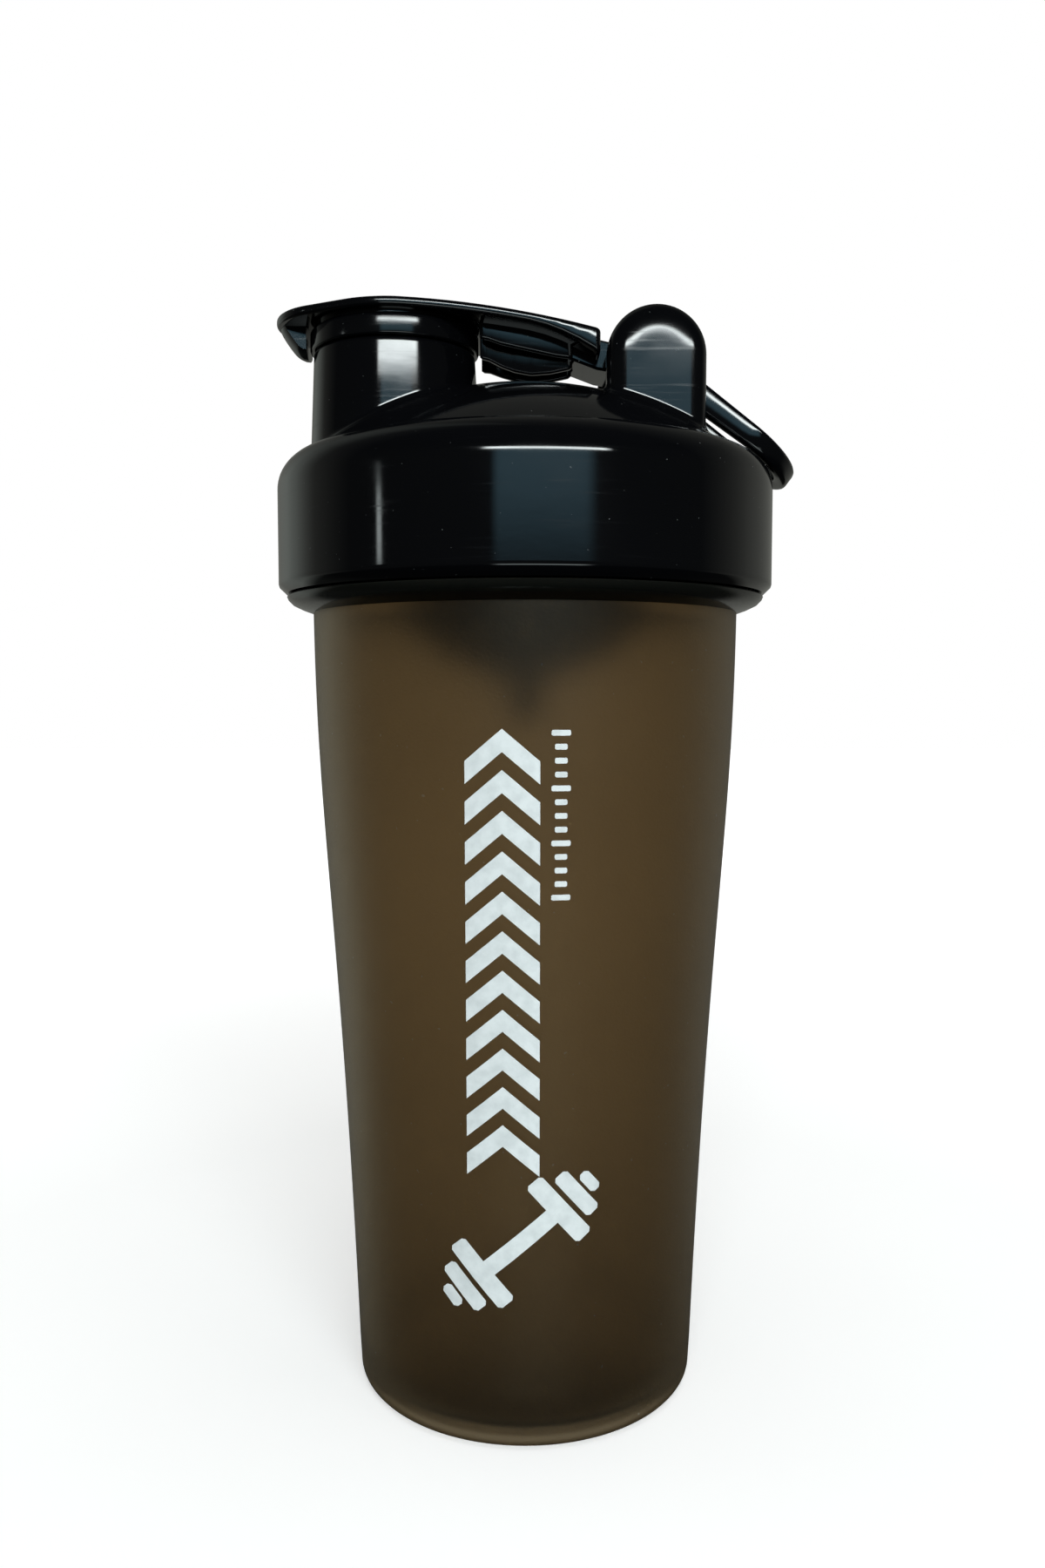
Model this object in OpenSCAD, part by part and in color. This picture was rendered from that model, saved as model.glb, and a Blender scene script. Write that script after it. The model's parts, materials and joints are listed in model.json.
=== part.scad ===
// Shaker bottle: a tapered cup with a screw lid, a spout with a flip cap, a carry loop and a mixing strainer.
// Frame: origin at the centre of the base on the resting plane, +Z up, spout towards -X, cap hinge towards +X.

/* [Cup] */
// Outer radius of the cup's side at its base
base_r = 34.1; // [31:0.1:36]
// Radius of the rounded heel at the base
heel_r = 2.5; // [1.5:0.1:4]
// Outer radius of the cup's side where it meets the shoulder flange
body_top_r = 42.3; // [41:0.1:43]
// Height of the cup's side, up to the shoulder flange
body_top_z = 155.4; // [140:0.1:156]
// Wall thickness of the cup
cup_wall = 1.8; // [1.4:0.1:2.4]
// Thickness of the cup's floor
floor_t = 2.6; // [2:0.1:3.5]
// Depth of the recess under the base
base_recess = 1.2; // [0.5:0.1:1.6]

/* [Neck and thread] */
// Outer radius of the neck inside the lid
neck_r = 43.5; // [43:0.1:43.8]
// Height of the neck's rim
rim_z = 181.4; // [180:0.1:181.4]
// How far the lid rises in one turn
thread_lead = 6; // [5:0.5:7]
// How far the thread stands out of the neck
thread_h = 1.4; // [1:0.1:1.6]
// Height of the lower end of the neck's thread
thread_z = 167; // [166:0.5:168]

/* [Lid] */
// Outer radius of the lid
lid_r = 49; // [48.5:0.1:51]
// Height of the lid's lower edge
lid_z = 158.9; // [158.7:0.1:160]
// Height where the lid's rounded shoulder meets the dome
deck_z = 186; // [185.8:0.1:187]
// Radius of the lid's rounded shoulder
shoulder_r = 7; // [6:0.5:7.5]
// Rise of the dome above the shoulder
dome_rise = 14; // [13:0.5:15]
// Wall thickness of the lid
lid_wall = 2.2; // [1.8:0.1:2.4]

/* [Spout] */
// Distance of the spout's axis from the lid's axis
spout_x = 26; // [25:0.5:26]
// Outer radius of the spout at its rim
spout_r = 16; // [15:0.1:16.2]
// How much wider the spout is at its foot than at its rim
spout_draft = 0.9; // [0:0.1:1.2]
// Radius of the spout's bore
spout_bore = 13.8; // [13:0.1:14]
// Height of the spout's rim
spout_z = 206.6; // [205:0.1:207]

/* [Hinge] */
// Distance of the hinge axis from the lid's axis
hinge_x = 24.7; // [24:0.1:26]
// Height of the hinge axis
hinge_z = 202.9; // [202:0.1:204]
// Radius of each hinge tower's rounded top
tower_r = 9.4; // [8.5:0.1:9.6]
// Distance between the two towers
tower_gap = 25.6; // [25.6:0.1:27]
// Thickness of each tower along the hinge axis
tower_t = 6.2; // [5.5:0.1:7]
// Rounding of the towers' outer edges, measured towards the hinge axis
tower_edge = 6.6; // [1:0.1:7]
// Rounding of the towers' outer edges, measured along the hinge axis
tower_bulge = 4.4; // [1:0.1:5]
// Radius of the trunnions moulded on the flip cap
trunnion_r = 3; // [2.6:0.1:3.2]
// Running clearance of the trunnions in their sockets and eyes
trunnion_gap = 0.06; // [0.03:0.01:0.1]

/* [Flip cap] */
// Height of the cap's crown
crown_z = 213.3; // [213:0.1:214]
// Radius of the arc along which the cap's arm falls towards the hinge
crown_r = 185; // [160:5:230]
// Radius of the cap's round part over the spout
disc_r = 18; // [17.6:0.1:18.4]
// Radius of the cap's nose
nose_r = 13.6; // [13:0.1:14]
// Half width of the cap's arm at the hinge end
arm_w = 12.6; // [11:0.1:12.6]
// Thickness of the cap's plate
cap_t = 1.7; // [1.3:0.1:2]
// How much thicker the plate is at the hinge end
cap_dip = 2.9; // [1:0.1:3.4]

/* [Carry loop] */
// Outer half width of the loop
loop_w = 12.3; // [12:0.1:12.5]
// Width of the loop's strap
strap_w = 3; // [2.6:0.1:3]
// Reach of the loop from the hinge axis
loop_reach = 35.2; // [34.5:0.1:37]
// Slope of the hanging loop below the horizontal
loop_slope = 36.6; // [35:0.1:37]
// Thickness of the strap at the eyes
strap_t0 = 5.4; // [5:0.1:6]
// Thickness of the strap at its far end
strap_t1 = 3.6; // [3:0.1:4]

/* [Hidden] */
$fn = 96;
smoke = [0.24, 0.2, 0.15];
black = [0.05, 0.05, 0.06];
dark_rubber = [0.11, 0.11, 0.12];
fine = 0.05;

// The cup's side is one long curve, straight at the base and flaring towards the shoulder.
side_points = [[base_r, 0], [37.9, 100], [41.7, 107], [body_top_r, body_top_z]];
side_steps = 20;
flange_r = 47.4;
flange_z = 158.6;
neck_inner = neck_r - cup_wall;

// The lid's dome is a sphere that passes through the shoulder's inner edge.
shoulder_x = lid_r - shoulder_r;
dome_r = (shoulder_x * shoulder_x + dome_rise * dome_rise) / (2 * dome_rise);
dome_z = deck_z + dome_rise - dome_r;
skirt_inner = lid_r - lid_wall;
inner_shoulder = shoulder_r - lid_wall;
gasket_inner = 40.9;
gasket_outer = 43.6;
gasket_t = 1.45;
retainer_t = 1.3;
retainer_z = 178;

thread_turns = 1;
thread_steps = 48;
root_half = 1.5;
crest_half = 0.7;
lid_thread_r = neck_r + 0.5;

tower_y = tower_gap / 2;
socket_end = tower_y + 4.2;
knuckle_y = 8.9;
knuckle_r = 5.2;
neck_y = 6.6;
plate_end_x = 14.4;
crown_x = -spout_x;
nose_x = -35.7;
tab_w = 8;
wall_t = 1.6;
cap_ring_z = 210.7;
plug_web_t = 2.5;
plug_r = 16.7;
plug_gap = 0.12;
stud_r = 3;
stud_head_r = 4.8;

loop_far = loop_reach - loop_w;
eye_r = strap_t0 / 2 + 2.6;

// A point at t (0 to 1) on the cubic curve with control points p.
function curve(p, t) =
    pow(1 - t, 3) * p[0] + 3 * pow(1 - t, 2) * t * p[1] + 3 * (1 - t) * t * t * p[2] + pow(t, 3) * p[3];

// Points of an arc about c with radius r, from angle a to angle b, in n steps.
function arc(c, r, a, b, n) =
    [for (i = [0 : n]) c + r * [cos(a + (b - a) * i / n), sin(a + (b - a) * i / n)]];

// The cup's outer side from just above the heel to the flange, moved inwards by inset.
function cup_side(inset, first) =
    [for (i = [first : side_steps]) curve(side_points, i / side_steps) - [inset, 0]];

// The cross-section of a thread at angle a: root points at root_r, crest points at crest_r, faded at its ends.
function thread_section(a, root_r, crest_r, z, turns) =
    let (
        fade = min(1, a / 25, (turns * 360 - a) / 25),
        tip = root_r + (crest_r - root_r) * max(fade, 0.06),
        mid = z + thread_lead * a / 360
    )
    [for (q = [[root_r, -root_half], [tip, -crest_half], [tip, crest_half], [root_r, root_half]])
        [q[0] * cos(a), q[0] * sin(a), mid + q[1]]];

// A helical ridge with its root at root_r and its crest at crest_r.
module thread(root_r, crest_r, z, turns) {
    n = ceil(thread_steps * turns);
    points = [for (i = [0 : n]) each thread_section(i * 360 * turns / n, root_r, crest_r, z, turns)];
    outward = crest_r > root_r;
    side_faces = [for (i = [0 : n - 1], k = [0 : 3])
        let (a = 4 * i + k, b = 4 * i + (k + 1) % 4)
        outward ? [a, b, b + 4, a + 4] : [a + 4, b + 4, b, a]];
    ends = outward ? [[3, 2, 1, 0], [4 * n, 4 * n + 1, 4 * n + 2, 4 * n + 3]]
        : [[0, 1, 2, 3], [4 * n + 3, 4 * n + 2, 4 * n + 1, 4 * n]];
    polyhedron(points = points, faces = concat(side_faces, ends), convexity = 8);
}

// Turned shape with the frame's Z axis as its axis.
module turned(points) {
    rotate_extrude() polygon(points);
}

// Puts a shape drawn in the X-Z plane upright, centred on Y = 0, with thickness w along Y.
module upright(w) {
    rotate([90, 0, 0]) linear_extrude(w, center = true) children();
}

module cup() {
    color(smoke) {
        difference() {
            turned(concat(
                [[0, base_recess], [base_r - heel_r - 3.4, base_recess], [base_r - heel_r - 2.2, 0]],
                arc([base_r - heel_r, heel_r], heel_r, -90, 0, 6),
                cup_side(0, 2),
                [[45.1, 156.2], [flange_r - 0.2, flange_z - 0.9], [flange_r, flange_z]],
                [[neck_r, flange_z]],
                arc([neck_r - 0.8, rim_z - 0.8], 0.8, 0, 90, 4),
                [[0, rim_z]]
            ));
            turned(concat(
                [[0, floor_t]],
                arc([base_r - cup_wall - 4, floor_t + 4], 4, -90, 0, 6),
                cup_side(cup_wall, 3),
                [[neck_inner, flange_z], [neck_inner, rim_z + 1], [0, rim_z + 1]]
            ));
        }
        thread(neck_r - fine, neck_r + thread_h, thread_z, thread_turns);
    }
}

module lid_gasket() {
    color(dark_rubber)
        translate([0, 0, rim_z + fine]) rotate_extrude()
            translate([gasket_inner, 0]) square([gasket_outer - gasket_inner, gasket_t]);
}

// The outside of the lid without its hollow: collar, shoulder and dome.
module lid_outside() {
    dome_edge = asin(shoulder_x / dome_r);
    turned(concat(
        [[0, lid_z], [lid_r - 1.4, lid_z], [lid_r, lid_z + 1.5]],
        arc([shoulder_x, deck_z - shoulder_r], shoulder_r, 0, 90, 12),
        arc([0, dome_z], dome_r, 90 - dome_edge, 90, 16)
    ));
}

// The space inside the lid's skirt, under its shoulder and dome.
module lid_hollow() {
    inner_dome = dome_r - lid_wall;
    inner_edge = asin(shoulder_x / inner_dome);
    turned(concat(
        [[0, lid_z - 1], [skirt_inner, lid_z - 1]],
        arc([shoulder_x, deck_z - shoulder_r], inner_shoulder, 0, 90, 8),
        arc([0, dome_z], inner_dome, 90 - inner_edge, 90, 12)
    ));
}

// One hinge tower on the +Y side: a round top with a bulging outer edge over a straight block down to the dome.
module tower() {
    outer_y = tower_y + tower_t;
    edge_points = concat(
        [[0, tower_y], [tower_r - 0.5, tower_y], [tower_r, tower_y + 0.5]],
        [for (a = [0 : 10 : 90])
            [tower_r - tower_edge * (1 - cos(a)), outer_y - tower_bulge * (1 - sin(a))]],
        [[0, outer_y]]
    );
    translate([hinge_x, 0, hinge_z]) {
        rotate([-90, 0, 0]) rotate_extrude() polygon(edge_points);
        translate([0, 0, deck_z - 6 - hinge_z]) linear_extrude(hinge_z - deck_z + 6) {
            polygon(edge_points);
            mirror([1, 0]) polygon(edge_points);
        }
    }
}

// The spout's outside, slightly wider at its foot.
module spout_outside() {
    translate([-spout_x, 0, 0]) turned(concat(
        [[0, deck_z - 4], [spout_r + spout_draft, deck_z - 4]],
        arc([spout_r - 0.8, spout_z - 0.8], 0.8, 0, 90, 4),
        [[0, spout_z]]
    ));
}

// The ring under the lid that keeps the gasket in place and takes the strainer's collar.
module retainer() {
    rotate_extrude()
        translate([gasket_inner - fine - retainer_t, retainer_z]) square([retainer_t, 7]);
}

module lid_shell() {
    color(black) {
        difference() {
            union() {
                lid_outside();
                spout_outside();
                for (side = [0, 1]) mirror([0, side, 0]) tower();
            }
            lid_hollow();
            translate([-spout_x, 0, lid_z]) cylinder(r = spout_bore, h = spout_z - lid_z + 1);
            translate([hinge_x, 0, hinge_z]) rotate([90, 0, 0])
                cylinder(r = trunnion_r + trunnion_gap, h = 2 * socket_end, center = true);
        }
        retainer_ring();
        thread(skirt_inner + fine, lid_thread_r, thread_z - thread_lead / 2, thread_turns);
    }
}

// The retainer ring, cut off at the lid's underside.
module retainer_ring() {
    intersection() {
        retainer();
        lid_outside();
    }
}

module mixing_strainer() {
    t = 1.6;
    rim_r = gasket_inner - 0.4;
    bowl = [[29, 157], [16, 148.2], [4.7, 143.8]];
    color(black) difference() {
        union() {
            turned(concat(
                [[0, bowl[2][1] - t], [bowl[2][0], bowl[2][1] - t]],
                [[bowl[1][0] + 0.6, bowl[1][1] - t], [bowl[0][0] + t, bowl[0][1] - 0.6]],
                [[rim_r - 1.4, retainer_z - 2], [rim_r, retainer_z - 2], [rim_r, retainer_z]],
                [[39.3, retainer_z], [39.3, retainer_z + 3], [38, retainer_z + 3], [38, retainer_z - 1.6]],
                [bowl[0], bowl[1], bowl[2], [0, bowl[2][1]]]
            ));
            translate([0, 0, 134]) cylinder(r1 = 3.2, r2 = 3.8, h = 12);
        }
        for (ring = [[10.5, 8, 6], [22, 16, 8], [34.2, 24, 4]])
            for (i = [0 : ring[1] - 1])
                rotate([0, 0, i * 360 / ring[1]]) translate([ring[0], 0, 155])
                    cube([ring[2], 2.4, 40], center = true);
    }
}

// Height of the cap's top at x: level over the spout, then falling towards the hinge.
function cap_top(x) = crown_z - pow(max(0, x - crown_x), 2) / (2 * crown_r);

// Height of the plate's underside at x: the arm thickens towards the hinge.
function cap_under(x) = cap_top(x) - cap_t - cap_dip * pow(max(0, x) / plate_end_x, 2);

// Stations along the arm, from the spout's axis to the hinge end.
arm_x = [for (i = [0 : 20]) crown_x + (hinge_x - crown_x) * i / 20];
plate_x = [for (i = [0 : 20]) crown_x + (plate_end_x - crown_x) * i / 20];

// Plan outline of the flip cap: nose, round part and an arm that narrows to the hinge end.
module cap_plan() {
    hull() {
        translate([nose_x, 0]) circle(nose_r);
        translate([-spout_x, 0]) circle(disc_r);
        translate([plate_end_x - 2, 0]) square([4, 2 * arm_w], center = true);
    }
}

// The cap's plate cut to its plan outline.
module cap_plate() {
    intersection() {
        upright(60) polygon(concat(
            [[-60, crown_z - cap_t], [-60, crown_z]],
            [for (x = plate_x) [x, cap_top(x)]],
            [for (i = [20 : -1 : 0]) [plate_x[i], cap_under(plate_x[i])]]
        ));
        translate([0, 0, crown_z - 20]) linear_extrude(30) cap_plan();
    }
}

// Everything under the cap's top surface, used to trim what stands under the plate.
module under_crown() {
    upright(60) polygon(concat(
        [[hinge_x, 190], [-60, 190], [-60, crown_z - 0.4]],
        [for (x = arm_x) [x, cap_top(x) - 0.4]]
    ));
}

// A pair of upright walls under the arm, from a lower line in side view and an outer line in plan.
module rib_pair(lower, outer) {
    last = len(lower) - 1;
    intersection() {
        under_crown();
        upright(40) polygon(concat(lower, [[lower[last][0], crown_z], [lower[0][0], crown_z]]));
        for (side = [0, 1]) mirror([0, side, 0]) linear_extrude(crown_z)
            polygon(concat(outer, [for (i = [len(outer) - 1 : -1 : 0]) outer[i] - [0, wall_t]]));
    }
}

// Two short outer ribs, and two deeper inner ribs with a belly.
module cap_ribs() {
    rib_pair(
        [[-8.8, 207.9], [-7.2, 207.7], [-4.7, 206.9], [-0.5, 206.1], [6.1, 204.9], [9.3, 204.6]],
        [[-8.8, 9.4], [9.3, 7.2]]
    );
    rib_pair(
        [[-8.8, 204.9], [-7.2, 204.7], [-4.7, 203.6], [-2.2, 202.8], [1.2, 202.2], [5, 202.5], [9.3, 203.4]],
        [[-8.8, 6.1], [-4.7, 4.9], [-2, 4.4], [9.3, 4.2]]
    );
}

// The curved tab under the nose that the thumb pushes up.
module thumb_tab() {
    intersection() {
        under_crown();
        upright(tab_w) polygon([
            [-48.8, crown_z], [-48.8, 211.8], [-48.2, 210.4], [-47.2, 208.9], [-46.2, 207.5],
            [-45.3, 206.5], [-44.3, 205.9], [-42, 205.6], [-42, crown_z]
        ]);
        linear_extrude(crown_z) difference() {
            translate([nose_x, 0]) circle(nose_r);
            translate([-spout_x, 0]) circle(plug_r + 0.3);
        }
    }
}

// The neck that joins the arm's ribs to the knuckle.
module cap_neck() {
    intersection() {
        under_crown();
        upright(2 * neck_y) polygon([
            [8.4, 204.7], [14, 202.6], [hinge_x, 200.8],
            [hinge_x, hinge_z + knuckle_r], [plate_end_x - 1, crown_z], [8.4, crown_z]
        ]);
    }
}

module flip_cap() {
    color(black) {
        cap_plate();
        cap_ribs();
        thumb_tab();
        cap_neck();
        translate([-spout_x, 0, cap_ring_z]) {
            translate([0, 0, fine]) cylinder(r = plug_r - 0.9, h = crown_z - cap_ring_z - 1);
            translate([0, 0, -plug_web_t - 0.4]) cylinder(r = stud_r, h = plug_web_t + 1);
            translate([0, 0, -plug_web_t - fine - 1.4]) cylinder(r1 = stud_r, r2 = stud_head_r, h = 1.4);
        }
        translate([hinge_x, 0, hinge_z]) rotate([90, 0, 0]) {
            cylinder(r = knuckle_r, h = 2 * knuckle_y, center = true);
            cylinder(r = trunnion_r, h = 2 * (socket_end - 0.4), center = true);
        }
    }
}

module spout_plug() {
    flange_z0 = spout_z + plug_gap;
    shelf_z = cap_ring_z - plug_web_t;
    color(dark_rubber) translate([-spout_x, 0, 0]) difference() {
        turned([
            [0, spout_z - 4], [12.6, spout_z - 4], [12.9, spout_z - 3.4], [13.4, flange_z0],
            [plug_r - 0.4, flange_z0], [plug_r, flange_z0 + 0.5], [plug_r, cap_ring_z - 0.4],
            [plug_r - 0.4, cap_ring_z], [0, cap_ring_z]
        ]);
        translate([0, 0, spout_z - 5]) cylinder(r = 10.5, h = shelf_z - spout_z + 5);
        cylinder(r = stud_r + fine, h = 300);
    }
}

// Half outline of a slot-shaped plan: straight from the eyes, then half round about the bow's centre.
function bow(half) =
    concat([[-eye_r - 1, -half]], arc([loop_far, 0], half, -90, 90, 28), [[-eye_r - 1, half]]);

// Plan outline of the loop lying flat: two arms from the eyes and a half-round bow, open between the eyes.
module loop_plan() {
    difference() {
        polygon(bow(loop_w));
        polygon(bow(loop_w - strap_w));
        translate([-eye_r - 2, strap_w - loop_w]) square([4, 2 * (loop_w - strap_w)]);
    }
}

// Side view of the loop lying flat: a round eye that runs into a tapering strap.
module loop_side() {
    neck_angle = asin(strap_t0 / 2 / eye_r);
    polygon(concat(
        arc([0, 0], eye_r, neck_angle, 360 - neck_angle, 40),
        [[loop_reach, -strap_t1 / 2], [loop_reach, strap_t1 / 2]]
    ));
}

module carry_loop() {
    color(black)
        translate([hinge_x, 0, hinge_z]) rotate([0, loop_slope, 0]) difference() {
            intersection() {
                translate([0, 0, -10]) linear_extrude(20) loop_plan();
                upright(40) loop_side();
            }
            rotate([90, 0, 0]) cylinder(r = trunnion_r + trunnion_gap, h = 40, center = true);
        }
}

cup();
lid_gasket();
lid_shell();
mixing_strainer();
flip_cap();
spout_plug();
carry_loop();
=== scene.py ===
import json
import math

import bmesh
import bpy
from mathutils import Matrix, Vector


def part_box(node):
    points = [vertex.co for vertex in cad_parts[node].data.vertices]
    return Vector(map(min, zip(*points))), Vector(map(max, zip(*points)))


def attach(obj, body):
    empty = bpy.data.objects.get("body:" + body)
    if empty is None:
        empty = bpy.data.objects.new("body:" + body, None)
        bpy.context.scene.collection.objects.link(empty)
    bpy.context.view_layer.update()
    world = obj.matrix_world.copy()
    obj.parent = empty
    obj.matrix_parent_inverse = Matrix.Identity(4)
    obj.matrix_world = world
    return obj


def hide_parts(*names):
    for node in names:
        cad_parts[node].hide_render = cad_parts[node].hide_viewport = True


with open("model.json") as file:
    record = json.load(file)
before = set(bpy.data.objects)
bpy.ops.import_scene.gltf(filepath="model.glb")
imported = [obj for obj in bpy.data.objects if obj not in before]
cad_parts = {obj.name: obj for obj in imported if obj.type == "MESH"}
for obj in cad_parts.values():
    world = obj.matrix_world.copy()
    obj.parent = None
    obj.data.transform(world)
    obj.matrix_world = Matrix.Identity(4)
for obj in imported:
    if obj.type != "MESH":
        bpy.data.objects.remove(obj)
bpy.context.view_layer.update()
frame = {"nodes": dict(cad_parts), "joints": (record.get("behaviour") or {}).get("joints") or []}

# Sizes are in metres. Those that the frame holds are read from it.
MM = 0.001
TURN_STEPS = 256

_, cup_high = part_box("cup")
lid_low, lid_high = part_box("lid_shell")
_, cap_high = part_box("flip_cap")
plug_low, plug_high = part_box("spout_plug")
_, loop_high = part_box("carry_loop")
_, gasket_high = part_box("lid_gasket")
joints = {joint["name"]: joint for joint in frame["joints"]}
HINGE_X, _, HINGE_Z = joints["cap_flip"]["pos_m"]

# Cup
RIM_Z = cup_high.z
FLANGE_R = cup_high.x
FLANGE_Z = 158.6 * MM
CUP_SIDE = [(34.1 * MM, 0), (37.9 * MM, 0.1), (41.7 * MM, 0.107), (42.3 * MM, 155.4 * MM)]
CUP_WALL = 1.8 * MM
CUP_FLOOR = 2.6 * MM
HEEL_R = 2.5 * MM
BASE_RECESS = 1.2 * MM
NECK_R = 43.5 * MM
FLANGE_UNDERSIDE = [(42.9 * MM, 155.6 * MM), (44.6 * MM, 156.2 * MM), (46.3 * MM, 157 * MM)]

# Screw thread
THREAD_LEAD = 6 * MM
THREAD_Z = 167 * MM
THREAD_HEIGHT = 1.4 * MM
THREAD_ROOT = 1.5 * MM
THREAD_CREST = 0.7 * MM

# Lid
LID_R = 49 * MM
LID_Z = lid_low.z
DECK_Z = 186 * MM
SHOULDER_R = 7 * MM
SHOULDER_X = LID_R - SHOULDER_R
DOME_RISE = 14 * MM
DOME_R = (SHOULDER_X ** 2 + DOME_RISE ** 2) / (2 * DOME_RISE)
DOME_CENTRE_Z = DECK_Z + DOME_RISE - DOME_R
LID_WALL = 2.2 * MM
FILLET = 1.2 * MM

# Spout
SPOUT_X = (plug_low.x + plug_high.x) / 2
SPOUT_R = 16 * MM
SPOUT_BORE = 13.8 * MM
SPOUT_Z = 206.6 * MM
SPOUT_DRAFT = 0.9 / 24.6

# Hinge towers
TOWER_R = lid_high.z - HINGE_Z
TOWER_IN = 12.8 * MM
TOWER_OUT = 19 * MM
TOWER_EDGE = 6.6 * MM
TOWER_BULGE = 4.4 * MM
PIN_R = 3 * MM
SOCKET_R = 3.06 * MM
SOCKET_END = TOWER_IN + 4.2 * MM

# Ring that keeps the gasket in its corner
RETAINER_R = gasket_high.x - 2.75 * MM
RETAINER_WALL = 1.3 * MM
RETAINER_LOW = 178 * MM
RETAINER_HIGH = 184.6 * MM

# Flip cap
CROWN_X = SPOUT_X
CROWN_R = 185 * MM
CROWN_Z = cap_high.z
CAP_T = 1.7 * MM
CAP_DIP = 2.9 * MM
NOSE_X = -35.7 * MM
NOSE_R = 13.6 * MM
DISC_R = cap_high.y
ARM_W = 12.6 * MM
PLATE_END = 14.4 * MM
NECK_Y = 6.6 * MM
KNUCKLE_Y = 8.9 * MM
KNUCKLE_R = 5.2 * MM
RING_Z = plug_high.z
PLUG_R = (plug_high.x - plug_low.x) / 2
PLUG_WEB = 2.5 * MM
RIB_T = 1.6 * MM
TAB_HALF_W = 4 * MM
TAB_CROWN = 1.5 * MM
TAB_END_X = -43.1 * MM
TAB_TOP_Z = 212.3 * MM

# Ribs under the cap's arm, in mm: the lower line in side view (x, z) and the outer line in plan (x, |y|)
OUTER_RIB = ([(-8.8, 207.9), (-7.2, 207.7), (-4.7, 206.9), (-0.5, 206.1), (6.1, 204.9), (9.3, 204.6)],
             [(-8.8, 9.4), (9.3, 7.2)])
INNER_RIB = ([(-8.8, 204.9), (-7.2, 204.7), (-4.7, 203.6), (-2.2, 202.8), (1.2, 202.2),
              (5, 202.5), (9.3, 203.4)],
             [(-8.8, 6.1), (-4.7, 4.9), (-2, 4.4), (9.3, 4.2)])

# Carry loop
LOOP_W = loop_high.y
STRAP_W = 3 * MM
LOOP_REACH = 35.2 * MM
LOOP_SLOPE = math.radians(36.6)
STRAP_T0 = 5.4 * MM
STRAP_T1 = 3.6 * MM
EYE_R = STRAP_T0 / 2 + 2.6 * MM

# Print on the cup: s is the distance round the cup from its front
INK_T = 0.07 * MM
INK_SINK = 0.02 * MM
PRINT_HALF_W = 30 * MM
PRINT_TOP = 160 * MM
PRINT_STEP = 1.6 * MM
PRINT_LEVEL_STEP = 4 * MM
CHEVRON_COUNT = 11
CHEVRON_S = -4.05 * MM
CHEVRON_W = 13.2 * MM
CHEVRON_H = 9.6 * MM
CHEVRON_STROKE = 4 * MM
COLUMN_LOW = 52.9 * MM
COLUMN_HIGH = 133.5 * MM
TICK_COUNT = 13
TICK_S = 6.2 * MM
TICK_LOW = 104 * MM
TICK_PITCH = 2.4 * MM
BELL_S = -0.9 * MM
BELL_Z = 40.3 * MM
BELL_TILT = 41
# Dumbbell plates on each side: distance from the middle, height and width in mm
BELL_PLATES = ((9.4, 14.5, 3.6), (13.7, 10, 3), (16.9, 4.4, 2.2))

# Camera
CAMERA_PLACE = (-0.5 * MM, -258.2 * MM, 139.2 * MM)
CAMERA_DOWN = 0.07
CAMERA_LENS = 29.03


# Curves

def arc(cx, cz, radius, start, end, steps):
    """Points of an arc from start to end, in degrees."""
    angles = [math.radians(start + (end - start) * i / steps) for i in range(steps + 1)]
    return [(cx + radius * math.cos(a), cz + radius * math.sin(a)) for a in angles]


def cubic(points, t):
    """The point at t (0 to 1) on a cubic curve."""
    s = 1 - t
    weights = (s ** 3, 3 * s * s * t, 3 * s * t * t, t ** 3)
    return tuple(sum(w * p[k] for w, p in zip(weights, points)) for k in (0, 1))


CUP_LINE = [cubic(CUP_SIDE, i / 200) for i in range(201)]


def cup_radius(z):
    """Outer radius of the cup's side at height z."""
    for (r0, z0), (r1, z1) in zip(CUP_LINE, CUP_LINE[1:]):
        if z <= z1:
            return r0 + (r1 - r0) * (z - z0) / (z1 - z0)
    return CUP_LINE[-1][0]


def lid_top(x, y):
    """Height of the lid's dome or shoulder at a place in plan."""
    r = math.hypot(x, y)
    if r <= SHOULDER_X:
        return DOME_CENTRE_Z + math.sqrt(DOME_R ** 2 - r * r)
    return DECK_Z - SHOULDER_R + math.sqrt(max(0, SHOULDER_R ** 2 - (r - SHOULDER_X) ** 2))


def cap_top(x):
    """Height of the flip cap's top at x: level over the spout, then falling towards the hinge."""
    return CROWN_Z - max(0, x - CROWN_X) ** 2 / (2 * CROWN_R)


def cap_under(x):
    """Height of the underside of the flip cap's plate at x."""
    return cap_top(x) - CAP_T - CAP_DIP * (max(0, x) / PLATE_END) ** 2


def along(points, x):
    """The second coordinate at x on a line through points."""
    for (x0, y0), (x1, y1) in zip(points, points[1:]):
        if x <= x1:
            return y0 + (y1 - y0) * (x - x0) / (x1 - x0)
    return points[-1][1]


# Mesh builders

def turned(profile, centre_x=0, steps=TURN_STEPS, zones=()):
    """Closed surface of revolution about a vertical axis.

    zones lists (material, first point, last point) along the profile.
    """
    bm = bmesh.new()
    rings = []
    for r, z in profile:
        if r < 1e-7:
            rings.append([bm.verts.new((centre_x, 0, z))])
            continue
        turns = [2 * math.pi * i / steps for i in range(steps)]
        rings.append([bm.verts.new((centre_x + r * math.cos(a), r * math.sin(a), z)) for a in turns])
    for k, lower in enumerate(rings):
        upper = rings[(k + 1) % len(rings)]
        if len(lower) == 1 and len(upper) == 1:
            continue
        material = next((m for m, first, last in zones if first <= k < last), 0)
        for i in range(steps):
            j = (i + 1) % steps
            below = [lower[i % len(lower)], lower[j % len(lower)]]
            above = [upper[j % len(upper)], upper[i % len(upper)]]
            unique = list(dict.fromkeys(below + above))
            bm.faces.new(unique).material_index = material
    return bm


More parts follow.
